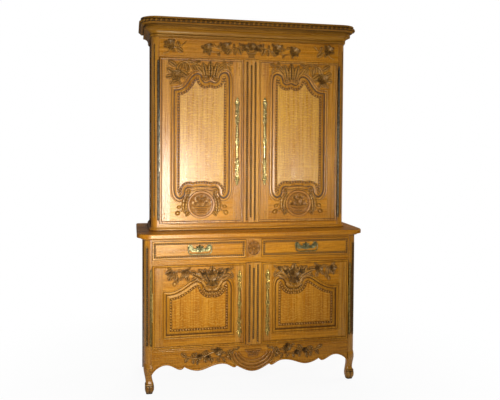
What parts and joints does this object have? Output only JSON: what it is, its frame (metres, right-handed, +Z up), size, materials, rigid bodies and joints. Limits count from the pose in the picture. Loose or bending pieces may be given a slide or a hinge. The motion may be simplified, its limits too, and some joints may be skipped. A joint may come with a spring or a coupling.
{
  "type": "two-piece buffet cupboard",
  "caption": "Tall carved oak two-piece buffet: base with drawers over panelled doors, shallower panelled upper cupboard, moulded cornice, long brass hinges and lock plates.",
  "frame": {"origin": "on the floor under the middle of the overall box", "axes": "+Z up, +X to the right seen from the front, front faces -Y"},
  "size_m": [1.47, 0.552, 2.35],
  "materials": {
    "oak_frame": "waxed satin oak",
    "oak_panel": "waxed satin quarter-sawn oak",
    "oak_inside": "plain unpolished oak",
    "brass": "polished, aged in hollows",
    "iron": "dark bare iron"
  },
  "bodies": {
    "carcass": {"base_top": "oak_frame", "base_front_posts": "oak_frame", "base_centre_post": "oak_frame", "base_top_rail": "oak_frame", "base_drawer_rail": "oak_frame", "base_apron": "oak_frame", "base_drawer_divider": "oak_frame", "upper_front_posts": "oak_frame", "upper_frieze": "oak_frame", "upper_bottom_rail": "oak_frame", "upper_centre_post": "oak_frame", "cornice": "oak_frame", "base_side_rails": "oak_frame", "upper_side_rails": "oak_frame", "base_rear_posts": "oak_frame", "upper_rear_posts": "oak_frame", "base_side_panels": "oak_panel", "upper_side_panels": "oak_panel", "base_back_boards": "oak_inside", "base_floor": "oak_inside", "drawer_runners": "oak_inside", "upper_back_boards": "oak_inside", "upper_floor": "oak_inside", "upper_ceiling": "oak_inside", "shelves": "oak_inside", "shelf_cleats": "oak_inside", "locating_dowels": "oak_inside", "hinge_pins": "brass"},
    "base_left_door": {"base_left_door_frame": "oak_frame", "base_left_door_panel": "oak_panel", "base_left_door_hinge": "brass", "base_left_lock_plate": "brass", "base_left_lock_case": "iron"},
    "base_left_bolt": {"base_left_lock_bolt": "iron"},
    "base_right_door": {"base_right_door_frame": "oak_frame", "base_right_door_panel": "oak_panel", "base_right_door_hinge": "brass", "base_right_lock_plate": "brass", "base_right_lock_case": "iron"},
    "base_right_bolt": {"base_right_lock_bolt": "iron"},
    "upper_left_door": {"upper_left_door_frame": "oak_frame", "upper_left_door_panel": "oak_panel", "upper_left_door_hinge": "brass", "upper_left_lock_plate": "brass", "upper_left_lock_case": "iron"},
    "upper_left_bolt": {"upper_left_lock_bolt": "iron"},
    "upper_right_door": {"upper_right_door_frame": "oak_frame", "upper_right_door_panel": "oak_panel", "upper_right_door_hinge": "brass", "upper_right_lock_plate": "brass", "upper_right_lock_case": "iron"},
    "upper_right_bolt": {"upper_right_lock_bolt": "iron"},
    "drawer_left": {"drawer_left_front": "oak_frame", "drawer_left_box": "oak_inside", "drawer_left_pull_studs": "brass"},
    "drawer_left_bail": {"drawer_left_pull_bail": "brass"},
    "drawer_right": {"drawer_right_front": "oak_frame", "drawer_right_box": "oak_inside", "drawer_right_pull_studs": "brass"},
    "drawer_right_bail": {"drawer_right_pull_bail": "brass"}
  },
  "joints": [
    {"name": "base_left_door_swing", "type": "hinge", "parent": "carcass", "child": "base_left_door", "pos_m": [-0.6495, -0.24, 0.5395], "axis": [0, 0, -1], "range_deg": [0, 120]},
    {"name": "base_left_bolt_slide", "type": "slide", "parent": "base_left_door", "child": "base_left_bolt", "axis": [1, 0, 0], "range_m": [0, 0.012]},
    {"name": "base_right_door_swing", "type": "hinge", "parent": "carcass", "child": "base_right_door", "pos_m": [0.6495, -0.24, 0.5395], "axis": [0, 0, 1], "range_deg": [0, 120]},
    {"name": "base_right_bolt_slide", "type": "slide", "parent": "base_right_door", "child": "base_right_bolt", "axis": [-1, 0, 0], "range_m": [0, 0.012]},
    {"name": "upper_left_door_swing", "type": "hinge", "parent": "carcass", "child": "upper_left_door", "pos_m": [-0.6015, -0.128, 1.5775], "axis": [0, 0, -1], "range_deg": [0, 120]},
    {"name": "upper_left_bolt_slide", "type": "slide", "parent": "upper_left_door", "child": "upper_left_bolt", "axis": [1, 0, 0], "range_m": [0, 0.012]},
    {"name": "upper_right_door_swing", "type": "hinge", "parent": "carcass", "child": "upper_right_door", "pos_m": [0.6015, -0.128, 1.5775], "axis": [0, 0, 1], "range_deg": [0, 120]},
    {"name": "upper_right_bolt_slide", "type": "slide", "parent": "upper_right_door", "child": "upper_right_bolt", "axis": [-1, 0, 0], "range_m": [0, 0.012]},
    {"name": "drawer_left_slide", "type": "slide", "parent": "carcass", "child": "drawer_left", "axis": [0, -1, 0], "range_m": [0, 0.34]},
    {"name": "drawer_left_bail_swing", "type": "hinge", "parent": "drawer_left", "child": "drawer_left_bail", "pos_m": [-0.3465, -0.248, 0.9125], "axis": [-1, 0, 0], "range_deg": [0, 90]},
    {"name": "drawer_right_slide", "type": "slide", "parent": "carcass", "child": "drawer_right", "axis": [0, -1, 0], "range_m": [0, 0.34]},
    {"name": "drawer_right_bail_swing", "type": "hinge", "parent": "drawer_right", "child": "drawer_right_bail", "pos_m": [0.3465, -0.248, 0.9125], "axis": [-1, 0, 0], "range_deg": [0, 90]}
  ]
}
